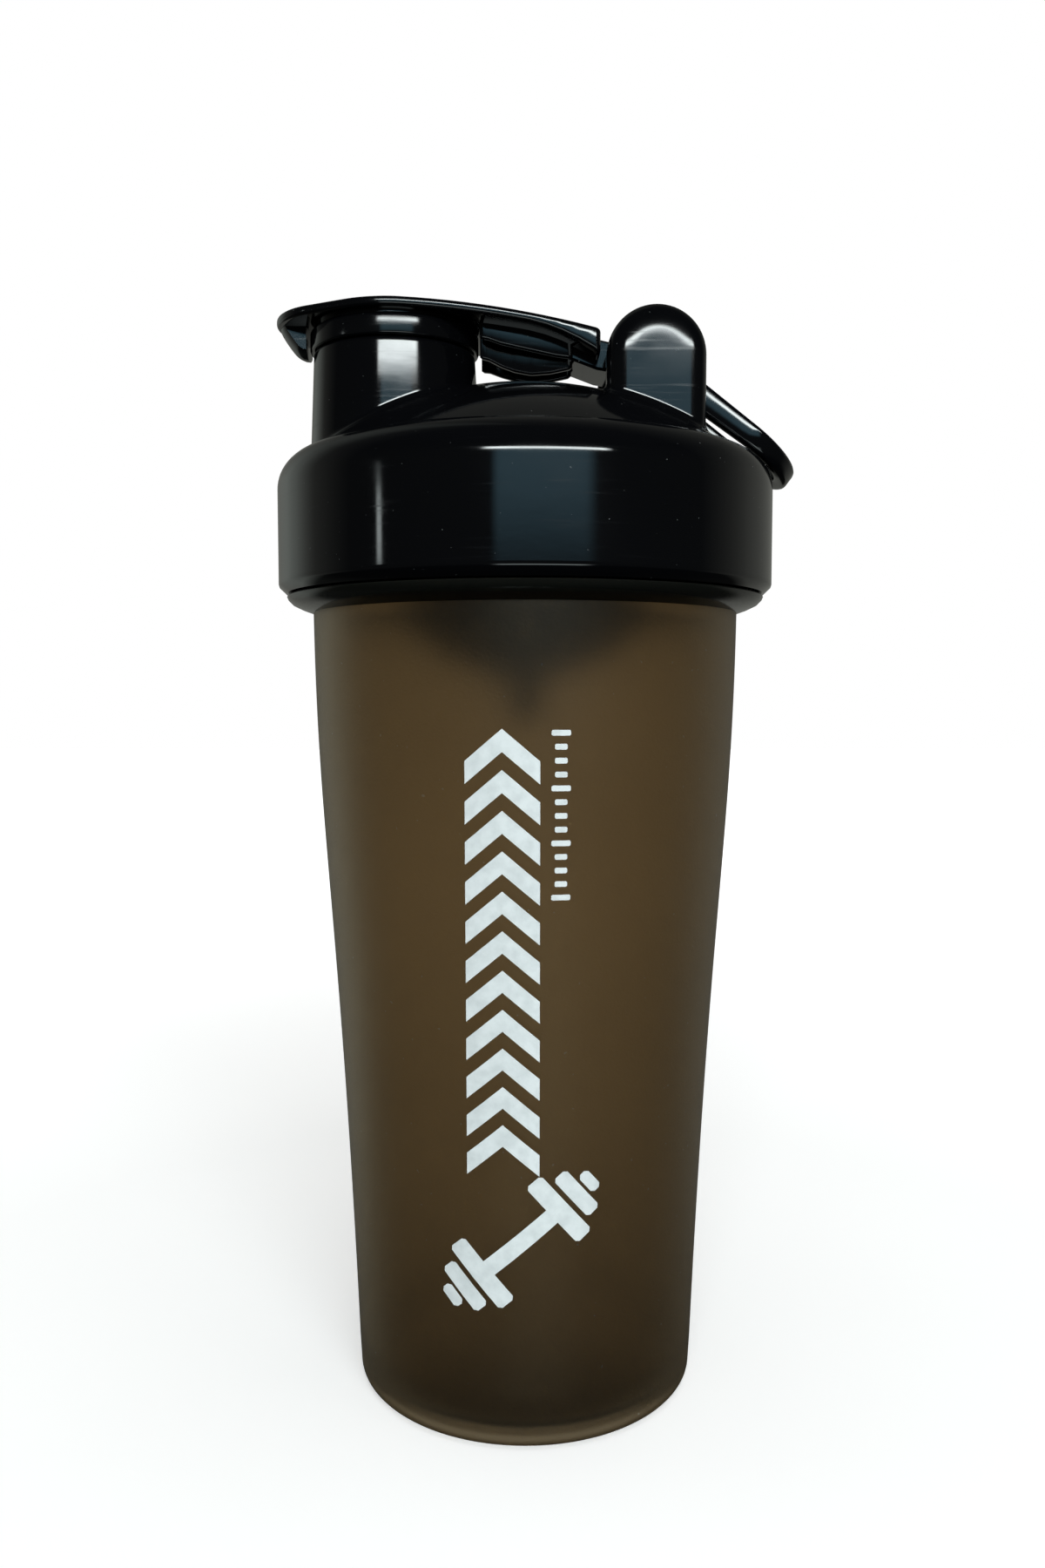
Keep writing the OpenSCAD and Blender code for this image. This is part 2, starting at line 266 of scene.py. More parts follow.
def lofted(rings, bm=None, caps=True):
    """Closed skin through rings of equally many points."""
    bm = bm or bmesh.new()
    loops = [[bm.verts.new(p) for p in ring] for ring in rings]
    count = len(loops[0])
    for lower, upper in zip(loops, loops[1:]):
        for i in range(count):
            j = (i + 1) % count
            bm.faces.new((lower[i], lower[j], upper[j], upper[i]))
    if caps:
        bm.faces.new(loops[0][::-1])
        bm.faces.new(loops[-1])
    return bm


def merged(*parts):
    """Several closed bmeshes in one."""
    whole = bmesh.new()
    for part in parts:
        mesh = bpy.data.meshes.new("part")
        bmesh.ops.recalc_face_normals(part, faces=part.faces)
        part.to_mesh(mesh)
        part.free()
        whole.from_mesh(mesh)
        bpy.data.meshes.remove(mesh)
    return whole


def smoothed(mesh, angle=32):
    """Smooth shading that keeps edges sharper than the angle."""
    for face in mesh.polygons:
        face.use_smooth = True
    mesh.set_sharp_from_angle(angle=math.radians(angle))


def linked(name, bm):
    """A plain object from a bmesh."""
    bmesh.ops.remove_doubles(bm, verts=bm.verts, dist=1e-7)
    bmesh.ops.recalc_face_normals(bm, faces=bm.faces)
    mesh = bpy.data.meshes.new(name)
    bm.to_mesh(mesh)
    bm.free()
    obj = bpy.data.objects.new(name, mesh)
    bpy.context.scene.collection.objects.link(obj)
    return obj


def piece(name, shape, body, materials, replaces=()):
    """A finished piece of the bottle that rides on a body."""
    obj = shape if isinstance(shape, bpy.types.Object) else linked(name, shape)
    obj.name = name
    slots = obj.data.materials
    for index, material in enumerate(materials):
        if index < len(slots):
            slots[index] = material
        else:
            slots.append(material)
    smoothed(obj.data)
    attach(obj, body)
    if replaces:
        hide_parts(*replaces)
    return obj


def cut(target, tool, operation):
    """Adds, removes or keeps the tool's solid in the target, and deletes the tool."""
    modifier = target.modifiers.new(operation, "BOOLEAN")
    modifier.operation = operation
    modifier.solver = "EXACT"
    modifier.object = tool
    bpy.context.view_layer.update()
    evaluated = target.evaluated_get(bpy.context.evaluated_depsgraph_get())
    mesh = bpy.data.meshes.new_from_object(evaluated)
    target.modifiers.clear()
    old = target.data
    target.data = mesh
    bpy.data.meshes.remove(old)
    bpy.data.objects.remove(tool)


# Materials

def node_material(name, colour, roughness):
    """A new material with its principled shader, node tree and object coordinates."""
    material = bpy.data.materials.new(name)
    material.use_nodes = True
    tree = material.node_tree
    shader = tree.nodes["Principled BSDF"]
    shader.inputs["Base Color"].default_value = (*colour, 1)
    shader.inputs["Roughness"].default_value = roughness
    place = tree.nodes.new("ShaderNodeTexCoord")
    return material, tree, shader, place.outputs["Object"]


def noise(tree, place, scale, detail=3, stretch=(1, 1, 1)):
    """Noise over object coordinates, stretched along an axis for streaks."""
    mapping = tree.nodes.new("ShaderNodeMapping")
    mapping.inputs["Scale"].default_value = stretch
    texture = tree.nodes.new("ShaderNodeTexNoise")
    texture.inputs["Scale"].default_value = scale
    texture.inputs["Detail"].default_value = detail
    tree.links.new(place, mapping.inputs["Vector"])
    tree.links.new(mapping.outputs["Vector"], texture.inputs["Vector"])
    return texture.outputs["Fac"]


def ramp(tree, value, low, high, start=0.0, end=1.0):
    """Maps a value from low..high to start..end, held at both ends."""
    node = tree.nodes.new("ShaderNodeMapRange")
    node.clamp = True
    node.inputs["From Min"].default_value = low
    node.inputs["From Max"].default_value = high
    node.inputs["To Min"].default_value = start
    node.inputs["To Max"].default_value = end
    tree.links.new(value, node.inputs["Value"])
    return node.outputs["Result"]


def add(tree, a, b):
    """Sum of two values."""
    node = tree.nodes.new("ShaderNodeMath")
    node.operation = "ADD"
    tree.links.new(a, node.inputs[0])
    tree.links.new(b, node.inputs[1])
    return node.outputs["Value"]


def times(tree, a, b):
    """Product of two values."""
    node = tree.nodes.new("ShaderNodeMath")
    node.operation = "MULTIPLY"
    tree.links.new(a, node.inputs[0])
    tree.links.new(b, node.inputs[1])
    return node.outputs["Value"]


def mixed(tree, factor, first, second):
    """Colour that goes from first to second by a factor."""
    node = tree.nodes.new("ShaderNodeMix")
    node.data_type = "RGBA"
    node.inputs["A"].default_value = (*first, 1)
    node.inputs["B"].default_value = (*second, 1)
    tree.links.new(factor, node.inputs["Factor"])
    return node.outputs["Result"]


def overlaid(tree, factor, under, colour):
    """A colour socket covered by a fixed colour by a factor."""
    node = tree.nodes.new("ShaderNodeMix")
    node.data_type = "RGBA"
    node.inputs["B"].default_value = (*colour, 1)
    tree.links.new(under, node.inputs["A"])
    tree.links.new(factor, node.inputs["Factor"])
    return node.outputs["Result"]


def bump(tree, shader, height, distance, strength=1.0):
    """Small relief on the surface."""
    node = tree.nodes.new("ShaderNodeBump")
    node.inputs["Strength"].default_value = strength
    node.inputs["Distance"].default_value = distance
    tree.links.new(height, node.inputs["Height"])
    tree.links.new(node.outputs["Normal"], shader.inputs["Normal"])


def gloss_black():
    """Polished black plastic with light scuffs, faint mould flow and a few dust specks."""
    black = (0.002, 0.0022, 0.0028)
    material, tree, shader, place = node_material("gloss_black", black, 0.1)
    shader.inputs["IOR"].default_value = 1.5
    cloud = ramp(tree, noise(tree, place, 55, 4), 0.35, 0.7, 0.05, 0.13)
    scuffs = ramp(tree, noise(tree, place, 60, 6, (1, 1, 22)), 0.58, 0.74, 0, 0.09)
    tree.links.new(add(tree, cloud, scuffs), shader.inputs["Roughness"])
    dust = ramp(tree, noise(tree, place, 1500, 2), 0.76, 0.8)
    tree.links.new(mixed(tree, dust, black, (0.16, 0.17, 0.17)), shader.inputs["Base Color"])
    bump(tree, shader, noise(tree, place, 90, 3, (1, 1, 3)), 0.00003, 0.25)
    return material


def satin_black(name, colour, roughness):
    """Satin black moulding with a fine spark-eroded grain."""
    material, tree, shader, place = node_material(name, colour, roughness)
    grain = noise(tree, place, 2600, 2)
    varied = ramp(tree, grain, 0.3, 0.7, roughness - 0.08, roughness + 0.08)
    tree.links.new(varied, shader.inputs["Roughness"])
    bright = tuple(c * 1.7 for c in colour)
    tree.links.new(mixed(tree, noise(tree, place, 120, 3), colour, bright), shader.inputs["Base Color"])
    bump(tree, shader, grain, 0.00004, 0.6)
    return material


def smoke_plastic(name, tint, roughness, grain_height, specks, clear=0.985):
    """Smoky brown translucent plastic: frosted outside, polished inside, and a near-black, mostly opaque
    copy at the flange that is painted shade under the lid.
    """
    material, tree, shader, place = node_material(name, tint, roughness)
    shader.inputs["IOR"].default_value = 1.49
    shader.inputs["Specular Tint"].default_value = (0.3, 0.3, 0.28, 1)
    shader.inputs["Transmission Weight"].default_value = clear
    cloud = noise(tree, place, 14, 3)
    colour = mixed(tree, ramp(tree, cloud, 0.35, 0.65), tint, tuple(c * 0.9 for c in tint))
    grain = noise(tree, place, 1900, 3)
    varied = ramp(tree, grain, 0.3, 0.7, roughness - 0.05, roughness + 0.05)
    tree.links.new(varied, shader.inputs["Roughness"])
    if specks:
        dots = ramp(tree, noise(tree, place, 900, 1), 0.77, 0.8)
        colour = overlaid(tree, dots, colour, (0.9, 0.9, 0.88))
    tree.links.new(colour, shader.inputs["Base Color"])
    bump(tree, shader, grain, grain_height, 0.5)
    return material


def print_ink():
    """Matt pale grey ink with slight thinning where the pad left less of it."""
    material, tree, shader, place = node_material("print_ink", (0.78, 0.82, 0.82), 0.55)
    thin = ramp(tree, noise(tree, place, 420, 4), 0.3, 0.62)
    tree.links.new(mixed(tree, thin, (0.7, 0.74, 0.74), (0.82, 0.86, 0.86)), shader.inputs["Base Color"])
    bump(tree, shader, noise(tree, place, 1600, 2), 0.00003, 0.5)
    return material


GLOSS = gloss_black()
SATIN = satin_black("satin_black", (0.012, 0.012, 0.013), 0.4)
RUBBER = satin_black("seal_rubber", (0.018, 0.018, 0.02), 0.5)
SMOKE_TINT = (0.64, 0.5, 0.33)
FROST = smoke_plastic("smoke_frosted", SMOKE_TINT, 0.44, 0.00005, True)
SMOKE = smoke_plastic("smoke_polished", SMOKE_TINT, 0.16, 0.00001, False)
# Near-black copy of the smoke plastic with little transmission: painted shade on the flange and neck, where
# the lid shades the cup.
SHADED_FLANGE = smoke_plastic("smoke_flange_painted_shade", (0.012, 0.013, 0.011), 0.14, 0.00001, False, 0.3)
INK = print_ink()


# Cup

def thread_ridge(root_r, crest_r, z, turns=1, steps=96):
    """A helical ridge that fades in and out at its ends."""
    rings = []
    for i in range(steps + 1):
        a = 360 * turns * i / steps
        fade = max(0.06, min(1, a / 25, (turns * 360 - a) / 25))
        tip = root_r + (crest_r - root_r) * fade
        mid = z + THREAD_LEAD * a / 360
        outline = [(root_r, -THREAD_ROOT), (tip, -THREAD_CREST), (tip, THREAD_CREST), (root_r, THREAD_ROOT)]
        cosine, sine = math.cos(math.radians(a)), math.sin(math.radians(a))
        rings.append([(r * cosine, r * sine, mid + dz) for r, dz in outline])
    return lofted(rings)


def cup_shape():
    """The cup's wall: recessed base, heel, tapered side, shoulder flange, neck, and the same inside."""
    base_r = CUP_SIDE[0][0]
    side_z = [8 * MM + (CUP_SIDE[3][1] - 8 * MM) * i / 60 for i in range(61)]
    recess_r = base_r - HEEL_R - 3.4 * MM
    outside = [(0, BASE_RECESS), (recess_r, BASE_RECESS), (recess_r + 0.5 * MM, BASE_RECESS - 0.15 * MM)]
    outside += [(recess_r + 1.1 * MM, 0.15 * MM), (recess_r + 1.5 * MM, 0)]
    outside += arc(base_r - HEEL_R, HEEL_R, HEEL_R, -90, 0, 10)
    outside += [(cup_radius(z), z) for z in side_z]
    frosted = (0, 4, len(outside) - 1)
    outside += FLANGE_UNDERSIDE
    outside += [(FLANGE_R - 0.25 * MM, FLANGE_Z - 0.75 * MM), (FLANGE_R, FLANGE_Z - 0.2 * MM)]
    outside += [(FLANGE_R - 0.2 * MM, FLANGE_Z), (NECK_R + 0.4 * MM, FLANGE_Z)]
    outside.append((NECK_R, FLANGE_Z + 0.4 * MM))
    outside += arc(NECK_R - 0.8 * MM, RIM_Z - 0.8 * MM, 0.8 * MM, 0, 90, 6)
    neck_in = NECK_R - CUP_WALL
    # The flange and neck outside take material 2, the near-black painted-shade copy of the smoke plastic.
    upper = (2, frosted[2], len(outside))
    inside = arc(neck_in + 0.5 * MM, RIM_Z - 0.5 * MM, 0.5 * MM, 90, 180, 4)
    inside += [(neck_in, 160 * MM), (neck_in - 0.3 * MM, 157 * MM)]
    inside += [(cup_radius(z) - CUP_WALL, z) for z in reversed(side_z)]
    inside += arc(base_r - CUP_WALL - 4 * MM, CUP_FLOOR + 4 * MM, 4 * MM, 0, -90, 8)
    inside += [(0, CUP_FLOOR)]
    total = len(outside) + len(inside)
    return turned(outside + inside, zones=[frosted, upper, (1, 0, total)])


def build_cup():
    piece("cup_wall", cup_shape(), "cup", [FROST, SMOKE, SHADED_FLANGE], ["cup"])
    ridge = thread_ridge(NECK_R - 0.05 * MM, NECK_R + THREAD_HEIGHT, THREAD_Z)
    piece("cup_thread", ridge, "cup", [SMOKE])


# Print: plain graphic shapes, wrapped round the cup's side

def wrapped(outlines):
    """Thin closed slabs on the cup's side from outlines of (distance round, height), facing -Y."""
    bm = bmesh.new()
    for outline in outlines:
        corners = [bm.verts.new((s, 0, z)) for s, z in outline]
        bm.faces.new(corners)
    cuts = int(PRINT_HALF_W / PRINT_STEP)
    for i in range(-cuts, cuts + 1):
        geometry = bm.verts[:] + bm.edges[:] + bm.faces[:]
        bmesh.ops.bisect_plane(bm, geom=geometry, plane_co=(i * PRINT_STEP, 0, 0), plane_no=(1, 0, 0))
    for i in range(int(PRINT_TOP / PRINT_LEVEL_STEP)):
        geometry = bm.verts[:] + bm.edges[:] + bm.faces[:]
        bmesh.ops.bisect_plane(bm, geom=geometry, plane_co=(0, 0, i * PRINT_LEVEL_STEP), plane_no=(0, 0, 1))
    bmesh.ops.triangulate(bm, faces=bm.faces[:])
    bmesh.ops.recalc_face_normals(bm, faces=bm.faces[:])
    skin = bm.faces[:]
    extruded = bmesh.ops.extrude_face_region(bm, geom=skin)
    back = {v for v in extruded["geom"] if isinstance(v, bmesh.types.BMVert)}
    for vert in bm.verts:
        z = vert.co.z
        radius = cup_radius(z) + (-INK_SINK if vert in back else INK_T)
        angle = vert.co.x / cup_radius(z)
        vert.co = Vector((radius * math.sin(angle), -radius * math.cos(angle), z))
    return bm


def slab(s, z, width, height, corner=0.6 * MM):
    """Outline of a block with cut corners."""
    w, h, c = width / 2, height / 2, corner
    right = [(w - c, -h), (w, -h + c), (w, h - c), (w - c, h)]
    left = [(-w + c, h), (-w, h - c), (-w, -h + c)]
    return [(s + x, z + y) for x, y in [(-w + c, -h)] + right + left]


def turned_outline(outline, s, z, angle):
    """An outline turned about (s, z)."""
    c, d = math.cos(math.radians(angle)), math.sin(math.radians(angle))
    return [(s + (x - s) * c - (y - z) * d, z + (x - s) * d + (y - z) * c) for x, y in outline]


def chevron(s, z, width, height, stroke):
    """Outline of an upward chevron."""
    w, rise = width / 2, height - stroke
    lower = [(s - w, z), (s, z + rise), (s + w, z)]
    return lower + [(s + w, z + stroke), (s, z + height), (s - w, z + stroke)]


def print_outlines():
    """A column of chevrons, a strip of small ticks beside it and a dumbbell under it."""
    outlines = []
    pitch = (COLUMN_HIGH - COLUMN_LOW - CHEVRON_H) / (CHEVRON_COUNT - 1)
    for i in range(CHEVRON_COUNT):
        z = COLUMN_LOW + pitch * i
        outlines.append(chevron(CHEVRON_S, z, CHEVRON_W, CHEVRON_H, CHEVRON_STROKE))
    for i in range(TICK_COUNT):
        width = (3.4 if i % 4 == 0 else 2.2) * MM
        outlines.append(slab(TICK_S, TICK_LOW + i * TICK_PITCH, width, 1 * MM, corner=0.2 * MM))
    bell = [slab(BELL_S, BELL_Z, 17 * MM, 3.2 * MM)]
    for side in (-1, 1):
        for reach, tall, wide in BELL_PLATES:
            bell.append(slab(BELL_S + side * reach * MM, BELL_Z, wide * MM, tall * MM))
    outlines += [turned_outline(outline, BELL_S, BELL_Z, BELL_TILT) for outline in bell]
    return outlines


def build_print():
    piece("cup_print", wrapped(print_outlines()), "cup", [INK])


# Lid

def skirted(outline, base_z, top_z):
    """Rings of an upright wall over the lid's dome, with a small fillet where it meets the dome."""
    count = len(outline)
    normals = []
    for i, point in enumerate(outline):
        before, after = Vector(outline[i - 1]), Vector(outline[(i + 1) % count])
        ahead = (after - before).normalized()
        normals.append(Vector((ahead.y, -ahead.x)))
    rings = []
    for step in range(-1, 8):
        a = math.radians(90 * min(max(step, 0), 6) / 6)
        out, up = FILLET * (1 - math.sin(a)), FILLET * (1 - math.cos(a))
        if step > 6:
            up += 0.4 * MM
        ring = []
        for point, normal in zip(outline, normals):
            p = Vector(point) + normal * out
            z = base_z if step < 0 else min(lid_top(p.x, p.y) - 0.03 * MM + up, top_z)
            ring.append((p.x, p.y, z))
        rings.append(ring)
    return rings


def circle_outline(cx, radius, steps):
    """Points of a circle, counter-clockwise from above."""
    return [(cx + radius * math.cos(2 * math.pi * i / steps), radius * math.sin(2 * math.pi * i / steps))
            for i in range(steps)]


def spout_solid():
    """The spout's outside as a solid: slightly wider at its foot and rounded at its rim."""
    steps = 160
    foot = []
    for x, y in circle_outline(SPOUT_X, SPOUT_R, steps):
        grown = 1 + SPOUT_DRAFT * (SPOUT_Z - lid_top(x, y)) / SPOUT_R
        foot.append((SPOUT_X + (x - SPOUT_X) * grown, y * grown))
    rings = skirted(foot, DECK_Z - 4 * MM, SPOUT_Z)
    lip = 0.7 * MM
    rim = [(SPOUT_R + SPOUT_DRAFT * 0.3 * MM, SPOUT_Z - lip - 0.3 * MM)]
    rim += arc(SPOUT_R - lip, SPOUT_Z - lip, lip, 0, 90, 5)
    for r, z in rim:
        rings.append([(x, y, z) for x, y in circle_outline(SPOUT_X, r, steps)])
    return lofted(rings)


def tower_solid(side):
    """A hinge tower: a straight block with a half-round top and a bulging outer edge."""
    edge = [(TOWER_R - 0.5 * MM, TOWER_IN), (TOWER_R - 0.15 * MM, TOWER_IN + 0.15 * MM)]
    edge.append((TOWER_R, TOWER_IN + 0.5 * MM))
    for k in range(19):
        a = math.radians(5 * k)
        inward, outward = 1 - max(0, math.cos(a)) ** (2 / 3), 1 - math.sin(a) ** (2 / 3)
        edge.append((TOWER_R - TOWER_EDGE * inward, TOWER_OUT - TOWER_BULGE * outward))
    flat = [(TOWER_R * k / 6 - 0.5 * MM, TOWER_IN) for k in range(1, 6)]
    face = [((TOWER_R - TOWER_EDGE) * k / 4, TOWER_OUT) for k in range(3, 0, -1)]
    half = flat + edge + face
    right = [(HINGE_X + r, side * y) for r, y in half]
    left = [(HINGE_X - r, side * y) for r, y in reversed(half)]
    outline = right + [(HINGE_X, side * TOWER_OUT)] + left + [(HINGE_X, side * TOWER_IN)]
    if side < 0:
        outline.reverse()
    rings = skirted(outline, DECK_Z - 4 * MM, HINGE_Z)
    rings.append([(x, y, HINGE_Z) for x, y in outline])
    bm = lofted(rings, caps=False)
    bm.verts.ensure_lookup_table()
    count = len(outline)
    bm.faces.new([bm.verts[i] for i in range(count)][::-1])
    turns = 36
    sweep = [(0, TOWER_IN)] + half + [(0, TOWER_OUT)]
    arches = []
    for j in range(turns + 1):
        c, d = math.cos(math.pi * j / turns), math.sin(math.pi * j / turns)
        arches.append([bm.verts.new((HINGE_X + r * c, side * y, HINGE_Z + r * d)) for r, y in sweep])
    for first, second in zip(arches, arches[1:]):
        for i in range(len(sweep) - 1):
            corners = [first[i], first[i + 1], second[i + 1], second[i]]
            bm.faces.new(corners)
    bmesh.ops.remove_doubles(bm, verts=bm.verts, dist=1e-7)
    return bm


def lid_outside():
    """The lid's outside as a solid: collar, rounded shoulder and dome."""
    dome_edge = math.degrees(math.asin(SHOULDER_X / DOME_R))
    profile = [(0, LID_Z), (LID_R - 2 * MM, LID_Z), (LID_R - 1.5 * MM, LID_Z + 0.1 * MM)]
    profile += [(LID_R - 0.15 * MM, LID_Z + 1.4 * MM), (LID_R, LID_Z + 1.9 * MM)]
    profile += [(LID_R, LID_Z + h * MM) for h in (2.4, 6, 11, 15, 19.6)]
    profile += arc(SHOULDER_X, DECK_Z - SHOULDER_R, SHOULDER_R, 0, 90, 16)
    dome = arc(0, DOME_CENTRE_Z, DOME_R, 90 - dome_edge, 90, 40)
    profile += dome[1:-1] + [(0, DECK_Z + DOME_RISE)]
    return turned(profile)


def lid_hollow():
    """The space under the lid's skirt, shoulder and dome."""
    skirt = LID_R - LID_WALL
    inner_dome = DOME_R - LID_WALL
    edge = math.degrees(math.asin(SHOULDER_X / inner_dome))
    profile = [(0, LID_Z - MM), (skirt, LID_Z - MM)]
    profile += arc(SHOULDER_X, DECK_Z - SHOULDER_R, SHOULDER_R - LID_WALL, 0, 90, 8)
    profile += arc(0, DOME_CENTRE_Z, inner_dome, 90 - edge, 90, 20)[:-1]
    return turned(profile + [(0, DOME_CENTRE_Z + inner_dome)], steps=128)


def bore_tool():
    """The spout's bore with a rounded mouth."""
    lip = 0.6 * MM
    profile = [(0, LID_Z), (SPOUT_BORE, LID_Z)]
    profile += arc(SPOUT_BORE + lip, SPOUT_Z - lip, lip, 180, 90, 5)
    profile += [(SPOUT_BORE + lip, SPOUT_Z + 2 * MM), (0, SPOUT_Z + 2 * MM)]
    return turned(profile, SPOUT_X, 160)


def socket_tool():
    """The two blind sockets of the hinge, joined across the gap between the towers."""
    rings = []
    for y in (-SOCKET_END, SOCKET_END):
        rings.append([(HINGE_X + SOCKET_R * math.cos(a), y, HINGE_Z + SOCKET_R * math.sin(a))
                      for a in [2 * math.pi * i / 48 for i in range(48)]])
    return lofted(rings)


def build_lid():
    shell = linked("lid_moulding", lid_outside())
    cut(shell, linked("tool", spout_solid()), "UNION")
    for side in (-1, 1):
        cut(shell, linked("tool", tower_solid(side)), "UNION")
    cut(shell, linked("tool", lid_hollow()), "DIFFERENCE")
    cut(shell, linked("tool", bore_tool()), "DIFFERENCE")
    cut(shell, linked("tool", socket_tool()), "DIFFERENCE")
    piece("lid_moulding", shell, "lid", [GLOSS], ["lid_shell"])
    ring_in = RETAINER_R - RETAINER_WALL
    section = [(ring_in, RETAINER_LOW), (RETAINER_R, RETAINER_LOW)]
    section += [(RETAINER_R, RETAINER_HIGH), (ring_in, RETAINER_HIGH)]
    ring = turned(section, steps=128)
    piece("lid_retaining_ring", ring, "lid", [GLOSS])
    ridge = thread_ridge(LID_R - LID_WALL + 0.05 * MM, NECK_R + 0.5 * MM, THREAD_Z - THREAD_LEAD / 2)
    piece("lid_thread", ridge, "lid", [GLOSS])


# Flip cap

def cap_outline():
    """Half outline of the cap's plate from the nose's tip to the plate's end, on the +Y side."""
    lean = math.degrees(math.asin((DISC_R - NOSE_R) / (SPOUT_X - NOSE_X)))
    reach = math.hypot(PLATE_END - SPOUT_X, ARM_W)
    leave = math.degrees(math.atan2(ARM_W, PLATE_END - SPOUT_X) + math.acos(DISC_R / reach))
    points = arc(NOSE_X, 0, NOSE_R, 180, 90 + lean, 20)
    points += arc(SPOUT_X, 0, DISC_R, 90 + lean, leave, 12)
    corner = 1.2 * MM
    x0, y0 = points[-1]
    x1, y1 = PLATE_END - corner, ARM_W + 0.1 * MM
    points += [(x0 + (x1 - x0) * k / 12, y0 + (y1 - y0) * k / 12) for k in range(1, 13)]
    return points + arc(PLATE_END - corner, y1 - corner, corner, 90, 0, 5)[1:]


def cap_plate():
    """The crowned plate with a rounded rim; its faces run straight across from one side to the other."""
    half = cap_outline()
    normals = []
    for i, point in enumerate(half):
        before = Vector(half[i - 1]) if i else Vector((half[1][0], -half[1][1]))
        after = Vector(half[i + 1]) if i < len(half) - 1 else Vector((half[-1][0], half[-1][1] - MM))
        ahead = (after - before).normalized()
        normals.append(Vector((ahead.y, -ahead.x)))
    bm = bmesh.new()
    sections = []
    for (x, y), normal in zip(half, normals):
        thick = cap_top(x) - cap_under(x)
        rim = min(0.62 * MM, thick * 0.42)
        section = []
        for corner, sign in ((cap_under(x) + rim, -1), (cap_top(x) - rim, 1)):
            angles = [k * 90 / 4 for k in range(5)]
            angles = angles[::-1] if sign < 0 else angles
            for a in angles:
                inset = rim * (1 - math.cos(math.radians(a)))
                place = Vector((x, y)) + normal * inset
                level = corner + sign * rim * math.sin(math.radians(a))
                section.append((place.x, max(place.y, 0), level + cap_top(place.x) - cap_top(x)))
        sections.append(section)
    for side in (1, -1):
        loops = [[bm.verts.new((x, side * y, z)) for x, y, z in section] for section in sections]
        for first, second in zip(loops, loops[1:]):
            for i in range(len(first) - 1):
                bm.faces.new((first[i], first[i + 1], second[i + 1], second[i]))
    bmesh.ops.remove_doubles(bm, verts=bm.verts, dist=1e-7)
    return bm, sections


def closed_plate():
    """The cap's plate with its top, bottom and end faces filled."""
    bm, sections = cap_plate()
    finder = {}
    for vert in bm.verts:
        finder[tuple(round(c, 7) for c in vert.co)] = vert

    def vert_at(x, y, z):
        key = tuple(round(c, 7) for c in (x, y, z))
        if key in finder:
            return finder[key]
        near = min(bm.verts, key=lambda v: (v.co - Vector((x, y, z))).length)
        return near

    def fill(corners):
        unique = list(dict.fromkeys(corners))
        if len(unique) > 2 and bm.faces.get(unique) is None:
            bm.faces.new(unique)

    for level in (0, -1):
        for first, second in zip(sections, sections[1:]):
            (x0, y0, z0), (x1, y1, z1) = first[level], second[level]
            fill([vert_at(x0, y0, z0), vert_at(x1, y1, z1), vert_at(x1, -y1, z1), vert_at(x0, -y0, z0)])
    last = sections[-1]
    for lower, upper in zip(last, last[1:]):
        (x0, y0, z0), (x1, y1, z1) = lower, upper
        fill([vert_at(x0, y0, z0), vert_at(x0, -y0, z0), vert_at(x1, -y1, z1), vert_at(x1, y1, z1)])
    return bm


def cap_rib(side, lower, outer):
    """A rib under the arm, from its lower line in side view and its outer line in plan, both in mm."""
    start, end = lower[0][0], lower[-1][0]
    round_r = 0.45
    rings = []
    for k in range(33):
        x = start + (end - start) * k / 32
        inset = 0.3 if k in (0, 32) else 0
        wall, low = along(outer, x) - inset, along(lower, x) + inset
        inner = wall + inset - RIB_T / MM + inset
        section = [(wall, cap_top(x * MM) / MM - 0.6)]
        section += arc(wall - round_r, low + round_r, round_r, 0, -90, 4)
        section += arc(inner + round_r, low + round_r, round_r, -90, -180, 4)
        section += [(inner, cap_top(x * MM) / MM - 0.6)]
        rings.append([(x * MM, side * y * MM, z * MM) for y, z in section])
    return lofted(rings)


def cap_boss():
    """The round boss between the plug's flange and the plate."""
    steps = 128
    radius = PLUG_R - 0.9 * MM
    rings = []
    for r, lift in ((radius - 0.3 * MM, 0), (radius, 0.3 * MM)):
        rings.append([(x, y, RING_Z + lift) for x, y in circle_outline(SPOUT_X, r, steps)])
    rings.append([(x, y, cap_under(x) + 0.3 * MM) for x, y in circle_outline(SPOUT_X, radius, steps)])
    return lofted(rings)


def cap_stud():
    """The stud with a mushroom head that holds the plug."""
    web = RING_Z - PLUG_WEB
    profile = [(0, web - 1.4 * MM), (PIN_R - 0.3 * MM, web - 1.4 * MM), (4.6 * MM, web - 0.2 * MM)]
    profile += [(4.6 * MM, web - 0.05 * MM), (PIN_R, web)]
    profile += [(PIN_R, RING_Z + 0.5 * MM), (0, RING_Z + 0.5 * MM)]
    return turned(profile, SPOUT_X, 64)


def thumb_tab():
    """The curved tab under the nose, between the rim of the plate and the plug's ring."""
    line = [(-48.75, 211.9), (-48.6, 211.2), (-48.2, 210.4), (-47.7, 209.6)]
    line += [(-47.2, 208.85), (-46.7, 208.15), (-46.2, 207.5), (-45.7, 206.9)]
    line += [(-45.2, 206.45), (-44.6, 206.05), (-44, 205.8), (-43.1, 205.7)]
    rings = []
    for k in range(13):
        side = math.cos(math.pi * k / 12)
        y = -TAB_HALF_W * (1 - (1 - abs(side)) ** 2) * (1 if side > 0 else -1)
        inset = TAB_CROWN * (y / TAB_HALF_W) ** 2
        section = []
        for i, (x, z) in enumerate(line):
            before, after = Vector(line[max(i - 1, 0)]), Vector(line[min(i + 1, len(line) - 1)])
            step = (after - before).normalized()
            place = Vector((x, z)) * MM + Vector((-step.y, step.x)) * inset
            section.append((min(place.x, TAB_END_X), place.y))
        section += [(TAB_END_X, TAB_TOP_Z), (section[0][0], TAB_TOP_Z)]
        rings.append([(x, y, z) for x, z in section])
    return lofted(rings)


